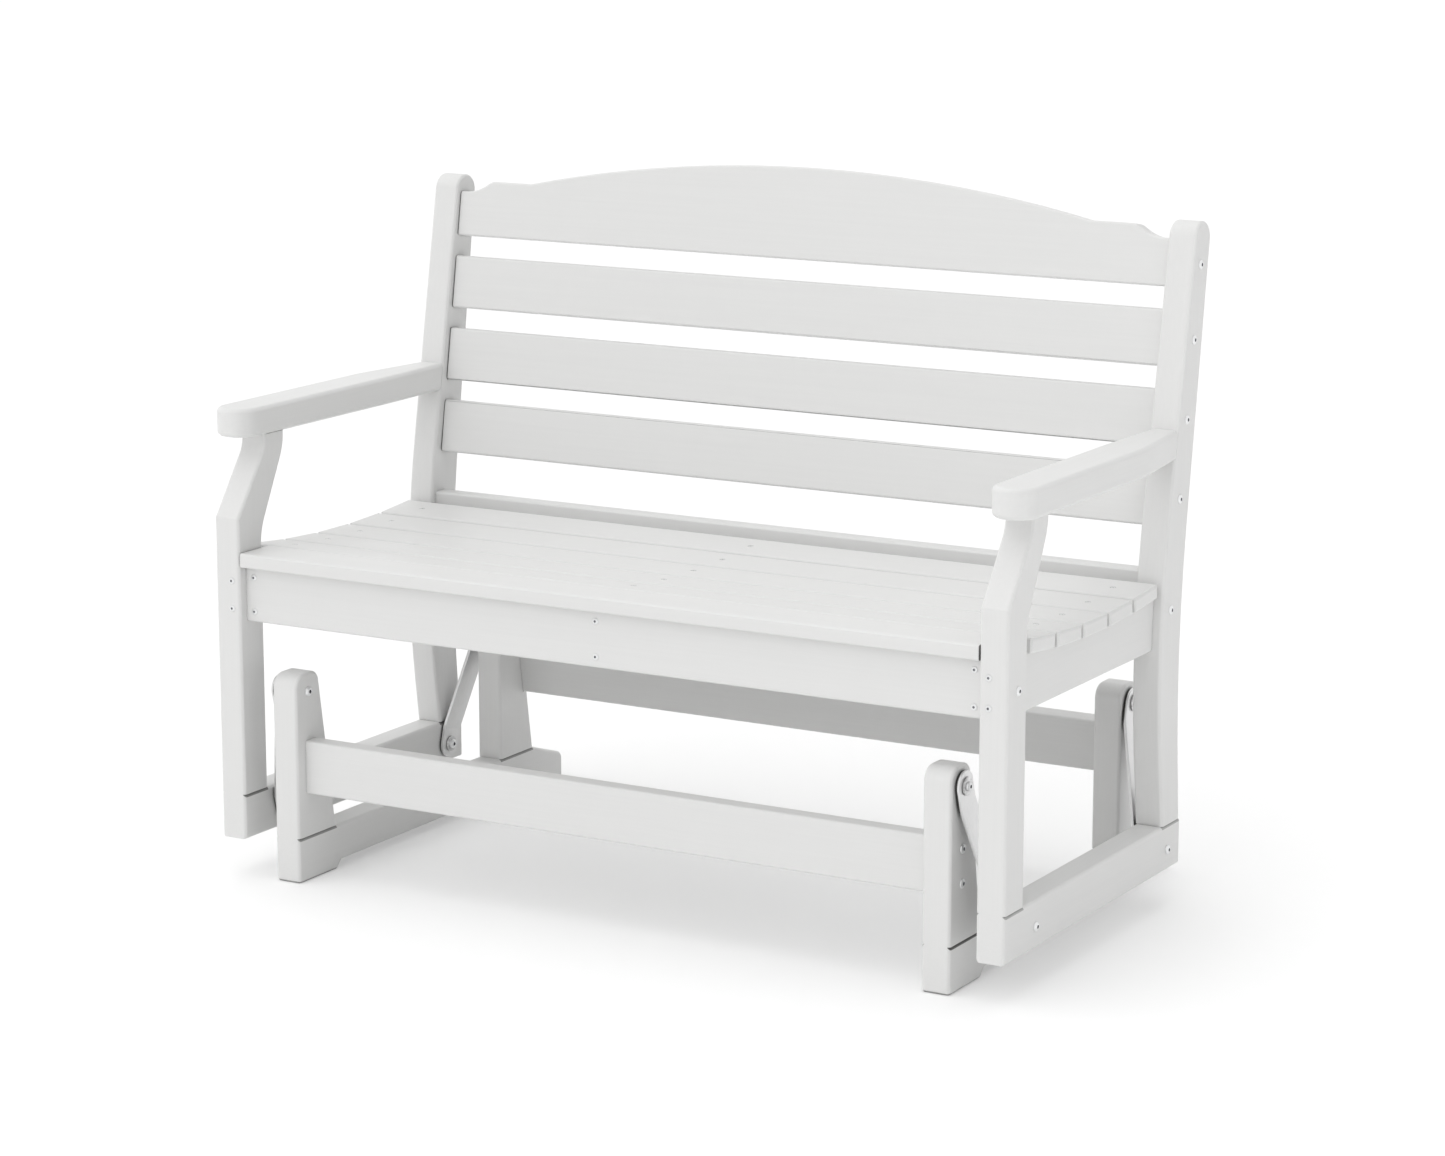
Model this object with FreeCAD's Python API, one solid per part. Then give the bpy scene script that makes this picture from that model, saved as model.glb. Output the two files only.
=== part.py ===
import FreeCAD, Part
import math
import os

# Porch glider: a slatted bench for two that swings on four steel arms hung from a low base.
# Millimetres, +Z up, floor at z = 0. X runs along the bench and the front faces -Y.
# Right means +X. Depths are measured from the front of the front legs (y = 0). The finished
# pieces are moved so that the origin is the middle of the footprint on the floor.

# Boards
board = 38.1                    # thickness of the frame boards
thin_board = 19.0               # thickness of the seat slats
cross_board = 25.4              # thickness of the rails, slats and stretchers between the ends
eased_edge = 2.8                # bevel along the frame boards
slat_edge = 2.0                 # bevel along the slats and rails between the ends

# Bench ends
clear_width = 1066.8            # between the two bench ends
bench_clearance = 52.5          # floor to the underside of the bench
bottom_rail_height = 60.5
bottom_rail_tail = 59.0         # past the face of the rear apron
leg_depth = 50.8
leg_knee_drop = 102.2           # underside of the arm to the bend in the front of the leg
leg_knee_round = 4.0
leg_hollow_drop = 126.2         # the same in the back of the leg
leg_hollow_round = 80.0
leg_top_setback = 61.5
leg_top_depth = 42.5
leg_front_bend_drop = 16.4      # underside of the arm to the upper bend, front of the leg
leg_front_bend_round = 46.0
leg_back_bend_drop = 20.0       # the same at the back of the leg
leg_back_bend_round = 74.0

# Rear posts
post_front_foot = 2.6           # post's front edge on the rail, behind the rear apron's face
post_back_foot = 56.0           # the same at the post's back edge
post_front_bend = -28.2         # front bend before it is rounded
post_back_bend = 37.8
post_bend_height = 344.0
post_front_bend_round = 1050.0
post_back_bend_round = 1400.0
post_rise = 441.0               # top of the front slat to the top of the post
post_front_top = 68.6
post_back_top = 114.7
post_top_round = 21.5

# Arms
arm_underside = 583.2
arm_nose = 15.0                 # depth of the arm's front end
arm_inner_overhang = 4.0        # past the inner face of the bench end
arm_outer_overhang = 16.5       # past its outer face
arm_corner_round = 27.0
arm_edge = 4.2
arm_taper_start = 108.0         # ahead of the rear apron's face
arm_taper_round = 150.0

# Seat
seat_front_height = 436.0       # floor to the top of the front slat
front_slat_depth = 65.0
front_slat_play = 1.2           # at each end, between the front slat and the leg
slat_width = 68.5
slat_gap = 5.5
slat_count = 5                  # slats behind the front one
slat_overhang = 33.6            # past the inner face of the bench end
seat_dish_drop = 12.5           # top of the front slat to the lowest point of the dish
seat_low_offset = 12.0          # lowest point of the dish behind the middle of the seat
seat_dish_radius = 1600.0
apron_setback = 14.0
apron_height = 73.0
rear_apron_space = 18.0         # behind the last slat
rear_apron_rise = 8.0           # above the top of the front slat

# Back
back_rise = 360.0               # the back leans by back_setback over this height
back_setback = 59.4
back_foot_setback = 14.2        # lowest back slat's face at its foot, behind the rear apron's face
back_foot_rise = 63.0           # top of the front slat to the lowest back slat
back_slat_height = 72.5
back_slat_pitch = 100.2
back_slat_count = 3             # straight slats under the shaped one
top_end_height = 61.0
top_shoulder_height = 76.5
top_peak_height = 121.6
top_arch_half = 420.0           # middle of the bench to the end of the arch
top_shoulder_end = 484.0
top_step_end = 506.0
top_step_round = 18.0

# Base
glide_space = 39.4              # between the base's outer face and the bench end
base_setback = 11.5
base_rail_height = 60.5
upright_depth = 84.0
upright_top_depth = 50.0
upright_height = 218.5
upright_inset = 31.0            # bench's length less the pitch of the uprights
upright_front_round = 19.0
upright_back_round = 15.0
tail_length = 77.5              # base rail behind the rear upright
tail_drop = 24.5
tail_round = 12.0
foot_length = 84.5
foot_relief = 10.5
stretcher_height = 71.0
front_stretcher_setback = 18.0
front_stretcher_lift = 58.0     # above the base rail
rear_stretcher_notch = 11.5     # let into the back of the rear upright
rear_stretcher_lift = 88.0

# Glide arms and their pivots
swing_arm_width = 38.1
swing_arm_thickness = 4.0
swing_arm_bend = 22.0           # pivot to the bend in the arm
swing_arm_bend_round = 6.0
upper_pivot_setback = 25.8      # behind the upright's front face
upper_pivot_drop = 24.5         # below the upright's top
lower_pivot_inset = 46.7        # towards the middle from the pivot above
lower_pivot_lift = 27.5         # above the underside of the bench
pivot_sides = 8                 # so are the pivots, with finer flats
pivot_cap_taper = 0.7           # top of a pivot head against its foot
pivot_bolt_radius = 4.0
pivot_head_radius = 6.0
pivot_head_height = 3.5
pivot_nut_radius = 6.5
pivot_nut_height = 4.0
pivot_nut_spigot = 8.0
bush_radius = 6.0
bush_flange_radius = 11.5
bush_flange = 2.5
spacer_radius = 11.0
spacer = 2.5
running_fit = 0.05              # radial, between a bolt and its bush
side_play = 0.1                 # between faces that turn on each other
loose_eye_radius = 7.0          # rear lower eyes, opened for the swing of the bench
loose_eye_shift = 2.6           # forward of the bolt's middle at rest

# Screws and bolts
screw_sides = 6                 # screws, bolts and pegs are plain bars with flats
screw_head_radius = 4.2
screw_head_height = 1.6
screw_radius = 2.2
screw_grip = 30.0               # length held in the second piece
bolt_head_radius = 6.0
bolt_head_height = 2.4
bolt_radius = 3.2
bolt_grip = 45.0
screw_fit = 0.05
counterbore_depth = 20.0
counterbore_play = 0.8
dowel_radius = 5.0
arm_dowel_length = 50.0
slat_dowel_length = 24.0
screw_margin = 14.0             # board edge to screw
arm_screw_spread = 8.0          # middle of the post to each screw into the arm

# Places that follow from the sizes
end_in = clear_width / 2
end_out = end_in + board
base_out = end_in - glide_space
base_in = base_out - board
rail_top = bench_clearance + bottom_rail_height
arm_top = arm_underside + board
arm_middle = arm_underside + board / 2
base_rail_top = base_rail_height
upright_top = base_rail_top + upright_height
apron_top = seat_front_height - thin_board
apron_bottom = apron_top - apron_height
slat_pitch = slat_width + slat_gap
seat_back = front_slat_depth + slat_count * slat_pitch
rear_apron_setback = seat_back + rear_apron_space
post_foot = (rear_apron_setback + post_front_foot, rear_apron_setback + post_back_foot)
post_bend = (rear_apron_setback + post_front_bend, rear_apron_setback + post_back_bend)
post_head = (rear_apron_setback + post_front_top, rear_apron_setback + post_back_top)
back_foot = rear_apron_setback + back_foot_setback
bottom_rail_length = rear_apron_setback + bottom_rail_tail
rear_upright = base_setback + bottom_rail_length - upright_inset
tail_end = rear_upright + upright_depth + tail_length
support_spacing = end_in - cross_board / 2
skirt_middle = end_in + cross_board / 2
seat_low_height = seat_front_height - seat_dish_drop
seat_low_depth = (front_slat_depth + seat_back) / 2 + seat_low_offset
rear_apron_top = seat_front_height + rear_apron_rise
back_foot_height = seat_front_height + back_foot_rise
post_top = seat_front_height + post_rise
back_slope = back_setback / back_rise
back_angle = math.atan(back_slope)
upper_pivot_height = upright_top - upper_pivot_drop
lower_pivot_height = bench_clearance + lower_pivot_lift
front_upper_pivot = base_setback + upper_pivot_setback
rear_upper_pivot = rear_upright + upper_pivot_setback
front_lower_pivot = front_upper_pivot + lower_pivot_inset
rear_lower_pivot = rear_upper_pivot - lower_pivot_inset
pivot_bore = pivot_bolt_radius + running_fit
tight_eye_radius = bush_radius * math.cos(math.pi / pivot_sides) + screw_fit
footprint_middle = (tail_end - screw_head_height) / 2

pieces = {}
holes = {}


def vector(x, y, z):
    return FreeCAD.Vector(x, y, z)


def side_view(x):
    """Drawing plane across the bench: outline points are (y, z)."""
    return lambda point: vector(x, point.x, point.y)


def top_view(z):
    """Level drawing plane: outline points are (x, y)."""
    return lambda point: vector(point.x, point.y, z)


def rounded_run(corners, place, closed=True):
    """Edges through (u, v, radius) corners: straight runs joined by tangent arcs."""
    points = [vector(u, v, 0) for u, v, radius in corners]
    count = len(points)
    bends = []
    for index, here in enumerate(points):
        radius = corners[index][2]
        if radius == 0:
            bends.append((here, None, here))
            continue
        back = (points[index - 1] - here).normalize()
        ahead = (points[(index + 1) % count] - here).normalize()
        half = back.getAngle(ahead) / 2
        reach = radius / math.tan(half)
        inward = (back + ahead).normalize()
        middle = here + inward * (radius / math.sin(half) - radius)
        bends.append((here + back * reach, middle, here + ahead * reach))
    edges = []
    for index, (entry, middle, leave) in enumerate(bends):
        before = bends[index - 1][2]
        if (closed or index > 0) and before.distanceToPoint(entry) > 1e-6:
            edges.append(Part.LineSegment(place(before), place(entry)).toShape())
        if middle is not None:
            edges.append(Part.Arc(place(entry), place(middle), place(leave)).toShape())
    return edges


def plate(corners, place, thickness):
    """Solid of a closed outline pushed along a thickness vector."""
    return Part.Face(Part.Wire(rounded_run(corners, place))).extrude(thickness)


def side_board(corners, x_low, x_high):
    return plate(corners, side_view(x_low), vector(x_high - x_low, 0, 0))


def box(x_low, x_high, y_low, y_high, z_low, z_high):
    low = vector(x_low, y_low, z_low)
    return Part.makeBox(x_high - x_low, y_high - y_low, z_high - z_low, low)


def lies_in(edge, axis, value):
    """True where an edge lies in the plane axis = value."""
    bounds = edge.BoundBox
    low = getattr(bounds, axis + "Min")
    high = getattr(bounds, axis + "Max")
    return abs(low - value) < 1e-3 and abs(high - value) < 1e-3


def ease_rims(solid, bevel, axis, faces, joints=()):
    """Bevel the rims of a board's two faces, apart from the heights where it meets another board."""
    rims = []
    for edge in solid.Edges:
        on_rim = any(lies_in(edge, axis, face) for face in faces)
        at_joint = any(lies_in(edge, way, value) for way, value in joints)
        if on_rim and not at_joint:
            rims.append(edge)
    return solid.makeChamfer(bevel, rims)


def ease_lengthways(solid, bevel):
    """Bevel the edges of a board that run along the bench."""
    runs = []
    for edge in solid.Edges:
        bounds = edge.BoundBox
        if bounds.YLength < 1e-3 and bounds.ZLength < 1e-3:
            runs.append(edge)
    return solid.makeChamfer(bevel, runs)


def mirrored(solid):
    return solid.mirror(vector(0, 0, 0), vector(1, 0, 0))


def both_ends(name, right):
    """Keep a right-hand piece and its left-hand twin."""
    pieces["right_" + name] = right
    pieces["left_" + name] = mirrored(right)


def ring(middle, along, radius, sides):
    """Closed outline with flats round a line, pointed at the given radius."""
    turn = FreeCAD.Rotation(vector(0, 0, 1), along)
    points = []
    for index in range(sides + 1):
        angle = 2 * math.pi * index / sides
        points.append(middle + turn.multVec(vector(radius * math.cos(angle), radius * math.sin(angle), 0)))
    return Part.makePolygon(points)


def bar(start, along, radius, length, sides):
    """Straight bar with flats."""
    return Part.Face(ring(start, along, radius, sides)).extrude(along * length)


def cap(start, along, radius, height):
    """Pivot head, drawn in towards its top."""
    top = ring(start + along * height, along, radius * pivot_cap_taper, pivot_sides)
    return Part.makeLoft([ring(start, along, radius, pivot_sides), top], True, True)


def bore(start, along, radius, length):
    """Pivot hole: its flats stand clear of a round of the given radius."""
    return bar(start, along, radius / math.cos(math.pi / pivot_sides), length, pivot_sides)


def drill(names, hole):
    """Note a hole for each named piece, to be cut once the piece is whole."""
    for name in names:
        holes.setdefault(name, []).append(hole)


def screw(seat, inward, length, names, large=False, flush=False):
    """Headed screw seated on a face or let in flush, with its hole in the pieces that it joins."""
    radius = bolt_radius if large else screw_radius
    head_radius = bolt_head_radius if large else screw_head_radius
    head_height = bolt_head_height if large else screw_head_height
    if flush:
        drill(names, bar(seat, inward, head_radius + screw_fit, head_height, screw_sides))
        seat = seat + inward * head_height
        length = length - head_height
    head = bar(seat, inward * -1, head_radius, head_height, screw_sides)
    shank = bar(seat, inward, radius, length, screw_sides)
    drill(names, bar(seat, inward, radius + screw_fit, length + screw_fit, screw_sides))
    return head.fuse(shank).removeSplitter()


def counterbore(mouth, inward):
    """Well that lets a screw head down into the underside of a rail."""
    return bar(mouth, inward, screw_head_radius + counterbore_play, counterbore_depth, screw_sides)


def ends_of(name):
    return ["right_" + name, "left_" + name]


def two_sided(spots):
    """Each (place, direction) on the right, then its twin on the left."""
    for place, direction in spots:
        yield place, direction
        yield vector(-place.x, place.y, place.z), vector(-direction.x, direction.y, direction.z)


def screw_group(node, spots, length, names, large=False, flush=False):
    solids = [screw(place, direction, length, names, large, flush) for place, direction in spots]
    pieces[node] = Part.makeCompound(solids)


# Bench ends

def bottom_rail():
    rail = box(end_in, end_out, 0, bottom_rail_length, bench_clearance, rail_top)
    return ease_rims(rail, eased_edge, "X", (end_in, end_out))


def front_leg():
    """Straight below, then bent back in an S to carry the arm."""
    back_top = leg_top_setback + leg_top_depth
    corners = [
        (0, rail_top, 0),
        (0, arm_underside - leg_knee_drop, leg_knee_round),
        (leg_top_setback, arm_underside - leg_front_bend_drop, leg_front_bend_round),
        (leg_top_setback, arm_underside, 0),
        (back_top, arm_underside, 0),
        (back_top, arm_underside - leg_back_bend_drop, leg_back_bend_round),
        (leg_depth, arm_underside - leg_hollow_drop, leg_hollow_round),
        (leg_depth, rail_top, 0),
    ]
    leg = side_board(corners, end_in, end_out)
    return ease_rims(leg, eased_edge, "X", (end_in, end_out), (("Z", rail_top), ("Z", arm_underside)))


def post_corners():
    return [
        (post_foot[0], rail_top, 0),
        (post_bend[0], post_bend_height, post_front_bend_round),
        (post_head[0], post_top, post_top_round),
        (post_head[1], post_top, post_top_round),
        (post_bend[1], post_bend_height, post_back_bend_round),
        (post_foot[1], rail_top, 0),
    ]


def post_edge(side, height):
    """Depth and slope of the post's front (0) or back (1) edge on its upper straight run."""
    slope = (post_head[side] - post_bend[side]) / (post_top - post_bend_height)
    return post_bend[side] + slope * (height - post_bend_height), slope


def rear_post():
    """Long board that bends back above the seat and ends in a full round."""
    post = side_board(post_corners(), end_in, end_out)
    return ease_rims(post, eased_edge, "X", (end_in, end_out), (("Z", rail_top),))


def post_space():
    """The post's outline across the whole bench end, to fit what butts against it."""
    return side_board(post_corners(), 0, end_out + arm_outer_overhang)


def seat_arm():
    """Flat arm with a round-cornered nose, drawn in behind to meet the post."""
    inner = end_in - arm_inner_overhang
    outer = end_out + arm_outer_overhang
    taper_start = rear_apron_setback - arm_taper_start
    at_post = post_edge(0, arm_middle)[0]
    in_post = (at_post + post_edge(1, arm_middle)[0]) / 2
    corners = [
        (inner, arm_nose, arm_corner_round),
        (outer, arm_nose, arm_corner_round),
        (outer, taper_start, arm_taper_round),
        (end_out, at_post, 0),
        (end_out, in_post, 0),
        (end_in, in_post, 0),
        (end_in, at_post, 0),
        (inner, taper_start, arm_taper_round),
    ]
    arm = plate(corners, top_view(arm_underside), vector(0, 0, board))
    arm = ease_rims(arm, arm_edge, "Z", (arm_underside, arm_top), (("Y", in_post),))
    return arm.cut(post_space())


# Seat

def slat_middles():
    """Depth, height of the top and tilt of each slat behind the front one."""
    first = front_slat_depth + slat_gap + slat_width / 2
    for index in range(slat_count):
        depth = first + index * slat_pitch
        offset = depth - seat_low_depth
        rise = seat_dish_radius - math.sqrt(seat_dish_radius ** 2 - offset ** 2)
        yield depth, seat_low_height + rise, math.asin(offset / seat_dish_radius)


def seat_line():
    """Underside of the slats as (depth, height) points, front to back."""
    lines = [(depth, height - thin_board / math.cos(tilt), math.tan(tilt))
             for depth, height, tilt in slat_middles()]
    points = []
    start = front_slat_depth + slat_gap / 2
    depth, height, slope = lines[0]
    points.append((start, height + slope * (start - depth)))
    for (depth, height, slope), (next_depth, next_height, next_slope) in zip(lines, lines[1:]):
        cross = (next_height - next_slope * next_depth - height + slope * depth) / (slope - next_slope)
        points.append((cross, height + slope * (cross - depth)))
    depth, height, slope = lines[-1]
    end = depth + slat_pitch / 2
    points.append((end, height + slope * (end - depth)))
    return points


def front_slat():
    reach = end_in - front_slat_play
    slat = box(-reach, reach, 0, front_slat_depth, apron_top, seat_front_height)
    return ease_lengthways(slat, slat_edge)


def seat_slat(depth, height, tilt):
    reach = end_in + slat_overhang
    slat = box(-reach, reach, -slat_width / 2, slat_width / 2, -thin_board, 0)
    slat = slat.makeChamfer(slat_edge, slat.Edges)
    slat.rotate(vector(0, 0, 0), vector(1, 0, 0), math.degrees(tilt))
    slat.translate(vector(0, depth, height))
    return slat


def seat_support(middle):
    """Bearer on edge under the slats, from the front apron to the rear one."""
    front = apron_setback + cross_board
    line = seat_line()
    corners = [(front, apron_bottom, 0), (front, apron_top, 0), (line[0][0], apron_top, 0)]
    corners += [(depth, height, 0) for depth, height in line]
    corners += [(rear_apron_setback, line[-1][1], 0), (rear_apron_setback, apron_bottom, 0)]
    return side_board(corners, middle - cross_board / 2, middle + cross_board / 2)


def side_skirt():
    """Board that closes the seat's side between the leg and the post."""
    line = seat_line()
    corners = [(leg_depth, apron_bottom, 0), (leg_depth, line[0][1], 0)]
    corners += [(depth, height, 0) for depth, height in line]
    corners += [(post_foot[1], line[-1][1], 0), (post_foot[1], apron_bottom, 0)]
    skirt = side_board(corners, end_in, end_in + cross_board)
    behind = box(0, end_out, rear_apron_setback, post_foot[1] + board, 0, post_top)
    skirt = skirt.cut([post_space(), behind])
    lower = []
    for edge in skirt.Edges:
        if lies_in(edge, "Z", apron_bottom) and edge.BoundBox.XLength < 1e-3:
            lower.append(edge)
    return skirt.makeChamfer(slat_edge, lower)


def front_apron():
    back = apron_setback + cross_board
    apron = box(-end_in, end_in, apron_setback, back, apron_bottom, apron_top)
    return ease_lengthways(apron, slat_edge)


def rear_apron():
    back = rear_apron_setback + cross_board
    apron = box(-end_in, end_in, rear_apron_setback, back, apron_bottom, rear_apron_top)
    return ease_lengthways(apron, slat_edge)


# Back

def lean_back(solid, lift):
    """Stand a slat that lies flat in front view on the sloping line of the back."""
    solid.rotate(vector(0, 0, 0), vector(1, 0, 0), -math.degrees(back_angle))
    along = lift * math.cos(back_angle)
    solid.translate(vector(0, back_foot + along * back_slope, back_foot_height + along))
    return solid


def back_slat(lift):
    slat = box(-end_in, end_in, 0, cross_board, 0, back_slat_height)
    return lean_back(ease_lengthways(slat, slat_edge), lift)


def top_back_slat(lift):
    """Shaped top slat: stepped shoulders and a long shallow arch."""
    def place(point):
        return vector(point.x, 0, point.y)

    half = [
        (top_arch_half, top_shoulder_height, 0),
        (top_shoulder_end, top_shoulder_height, top_step_round),
        (top_step_end, top_end_height, top_step_round),
        (end_in, top_end_height, 0),
        (end_in, 0, 0),
    ]
    other_half = [(-u, v, radius) for u, v, radius in reversed(half)]
    edges = rounded_run(half + other_half, place, closed=False)
    tips = [place(vector(top_arch_half * side, top_shoulder_height, 0)) for side in (-1, 1)]
    peak = place(vector(0, top_peak_height, 0))
    edges.append(Part.Arc(tips[0], peak, tips[1]).toShape())
    slat = Part.Face(Part.Wire(edges)).extrude(vector(0, cross_board, 0))
    slat = ease_rims(slat, slat_edge, "Y", (0, cross_board), (("X", end_in), ("X", -end_in)))
    return lean_back(slat, lift)


# Base

def base_rail():
    """Long foot: relieved underneath and cut down to a tail behind."""
    front_foot = base_setback + foot_length
    rear_foot = tail_end - foot_length
    tail_start = rear_upright + upright_depth
    corners = [
        (base_setback + eased_edge, 0, 0),
        (base_setback, eased_edge, 0),
        (base_setback, base_rail_top, 0),
        (tail_start, base_rail_top, 0),
        (tail_end, base_rail_top - tail_drop, tail_round),
        (tail_end, eased_edge, 0),
        (tail_end - eased_edge, 0, 0),
        (rear_foot, 0, 0),
        (rear_foot - foot_relief, foot_relief, 0),
        (front_foot + foot_relief, foot_relief, 0),
        (front_foot, 0, 0),
    ]
    rail = side_board(corners, base_in, base_out)
    return ease_rims(rail, eased_edge, "X", (base_in, base_out))


def upright(front, names):
    """Tapered upright that the glide arms hang from."""
    corners = [
        (front, base_rail_top, 0),
        (front, upright_top, upright_front_round),
        (front + upright_top_depth, upright_top, upright_back_round),
        (front + upright_depth, base_rail_top, 0),
    ]
    solid = side_board(corners, base_in, base_out)
    solid = ease_rims(solid, eased_edge, "X", (base_in, base_out), (("Z", base_rail_top),))
    pieces[names[0]] = solid
    pieces[names[1]] = mirrored(solid)


def front_stretcher():
    front = base_setback + front_stretcher_setback
    bottom = base_rail_top + front_stretcher_lift
    solid = box(-base_in, base_in, front, front + cross_board, bottom, bottom + stretcher_height)
    return ease_lengthways(solid, slat_edge)


def upright_back(lift):
    """Point on the back of the rear upright, with the directions up it and out of it."""
    lean = math.atan((upright_depth - upright_top_depth) / upright_height)
    depth = rear_upright + upright_depth - lift * math.tan(lean)
    up_it = vector(0, -math.sin(lean), math.cos(lean))
    out_of_it = vector(0, math.cos(lean), math.sin(lean))
    return vector(0, depth, base_rail_top + lift), up_it, out_of_it


def rear_stretcher():
    """Lies in notches across the sloping backs of the rear uprights."""
    foot, up_it, out_of_it = upright_back(rear_stretcher_lift)
    front = foot - out_of_it * rear_stretcher_notch
    back = front + out_of_it * cross_board
    rise = up_it * stretcher_height
    corners = [(point.y, point.z, 0) for point in (front, front + rise, back + rise, back)]
    return side_board(corners, -base_out, base_out)


# Glide arms

def arm_frame(upper, lower):
    """Unit vectors along and across an arm that hangs between two (depth, height) pivots."""
    along = vector(0, lower[0] - upper[0], lower[1] - upper[1])
    length = along.Length
    along.normalize()
    return along, along.cross(vector(1, 0, 0)), length


def glide_arm(upper, lower, lower_eye_radius, lower_eye_shift):
    """Flat steel bar, joggled outwards so that both eyes lie flat on their boards."""
    along, across, length = arm_frame(upper, lower)
    inner = base_out + spacer + side_play
    outer = end_in - spacer - side_play
    end = swing_arm_width / 2
    bend = math.atan((outer - swing_arm_thickness - inner) / (length - 2 * swing_arm_bend))
    offset = swing_arm_thickness * math.tan(bend / 2)
    near = swing_arm_bend
    far = length - swing_arm_bend
    radius = swing_arm_bend_round
    wide = radius + swing_arm_thickness
    strip = [
        (-end, inner, 0),
        (near + offset, inner, radius),
        (far + offset, outer - swing_arm_thickness, wide),
        (length + end, outer - swing_arm_thickness, 0),
        (length + end, outer, 0),
        (far - offset, outer, radius),
        (near - offset, inner + swing_arm_thickness, wide),
        (-end, inner + swing_arm_thickness, 0),
    ]
    pivot = vector(0, upper[0], upper[1])

    def edge_on(point):
        return pivot + along * point.x + across * -end + vector(point.y, 0, 0)

    def face_on(point):
        return pivot + along * point.x + across * point.y + vector(inner, 0, 0)

    bar_bent = plate(strip, edge_on, across * swing_arm_width)
    tight = end - 1e-3
    outline = [
        (-end, -end, tight),
        (length + end, -end, tight),
        (length + end, end, tight),
        (-end, end, tight),
    ]
    arm = bar_bent.common(plate(outline, face_on, vector(outer - inner, 0, 0)))
    eye = vector(base_out, upper[0], upper[1])
    lower_eye = vector(base_out, lower[0] + lower_eye_shift, lower[1])
    reach = glide_space
    upper_hole = bore(eye, vector(1, 0, 0), tight_eye_radius, reach)
    lower_hole = bore(lower_eye, vector(1, 0, 0), lower_eye_radius, reach)
    return arm.cut([upper_hole, lower_hole])


def collar(start, along, length, radius):
    """Ring that a pivot bolt turns in."""
    outside = bar(start, along, radius, length, pivot_sides)
    return outside.cut(bore(start, along, pivot_bore, length))


def bush(face, along):
    """Flanged bush pressed into an arm's eye from the side that shows."""
    flange = collar(face, along, bush_flange, bush_flange_radius)
    sleeve = collar(face, along * -1, swing_arm_thickness, bush_radius)
    return flange.fuse(sleeve).removeSplitter()


def pivot_bolt(head_face, outward, length, names):
    """Shouldered bolt with a bevelled head."""
    head = cap(head_face, outward, pivot_head_radius, pivot_head_height)
    shank = bar(head_face, outward * -1, pivot_bolt_radius, length, pivot_sides)
    drill(names, bore(head_face, outward * -1, pivot_bore, length))
    return head.fuse(shank)


def pivot_nut(face, outward, names):
    """Domed nut whose spigot meets the bolt inside the board."""
    dome = cap(face, outward, pivot_nut_radius, pivot_nut_height)
    spigot = bar(face, outward * -1, pivot_bolt_radius, pivot_nut_spigot, pivot_sides)
    drill(names, bore(face, outward * -1, pivot_bore, pivot_nut_spigot))
    return dome.fuse(spigot)


def upper_pivots():
    """Bolts, nuts, spacers and bushes where the arms hang on the base."""
    out = vector(1, 0, 0)
    groups = {"upper_pivot_bolts": [], "upper_pivot_nuts": [], "upper_pivot_spacers": []}
    arm_face = base_out + spacer + side_play + swing_arm_thickness
    head_face = arm_face + bush_flange + side_play
    for depth, row in ((front_upper_pivot, "front"), (rear_upper_pivot, "rear")):
        names = ["base_" + row + "_right_upright", "base_" + row + "_left_upright"]
        bolt_length = head_face - base_in - pivot_nut_spigot
        bolt = pivot_bolt(vector(head_face, depth, upper_pivot_height), out, bolt_length, names[:1])
        nut = pivot_nut(vector(base_in, depth, upper_pivot_height), out * -1, names[:1])
        foot = vector(base_out, depth, upper_pivot_height)
        washer = collar(foot, out, spacer, spacer_radius)
        drill(names[1:], mirrored(holes[names[0]][-2]))
        drill(names[1:], mirrored(holes[names[0]][-1]))
        for solid, node in zip((bolt, nut, washer), groups):
            groups[node] += [solid, mirrored(solid)]
        sleeve = bush(vector(arm_face, depth, upper_pivot_height), out)
        pieces[row + "_arm_bushes"] = [sleeve, mirrored(sleeve)]
    for node, solids in groups.items():
        pieces[node] = Part.makeCompound(solids)


def lower_pivots():
    """Bolts, nuts, spacers and washers where the bench hangs on the arms."""
    out = vector(1, 0, 0)
    groups = {"lower_pivot_bolts": [], "lower_pivot_nuts": [], "lower_pivot_spacers": []}
    arm_face = end_in - spacer - side_play - swing_arm_thickness
    nut_face = arm_face - bush_flange - side_play
    rails = ends_of("bottom_rail")
    for depth, row in ((front_lower_pivot, "front"), (rear_lower_pivot, "rear")):
        length = end_out - nut_face
        bolt = pivot_bolt(vector(end_out, depth, lower_pivot_height), out, length, rails[:1])
        drill(rails[1:], mirrored(holes[rails[0]][-1]))
        nut_spot = vector(nut_face, depth, lower_pivot_height)
        nut = cap(nut_spot, out * -1, pivot_nut_radius, pivot_nut_height)
        spot = vector(end_in, depth, lower_pivot_height)
        rings = [collar(spot, out * -1, spacer, spacer_radius)]
        flange_spot = vector(arm_face, depth, lower_pivot_height)
        if row == "front":
            sleeve = bush(flange_spot, out * -1)
            pieces["front_arm_bushes"] += [sleeve, mirrored(sleeve)]
        else:
            rings.append(collar(nut_spot, out, bush_flange, bush_flange_radius))
        groups["lower_pivot_bolts"] += [bolt, mirrored(bolt)]
        groups["lower_pivot_nuts"] += [nut, mirrored(nut)]
        for solid in rings:
            groups["lower_pivot_spacers"] += [solid, mirrored(solid)]
    for node, solids in groups.items():
        pieces[node] = Part.makeCompound(solids)
    for node in ("front_arm_bushes", "rear_arm_bushes"):
        pieces[node] = Part.makeCompound(pieces[node])


# Screws

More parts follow.
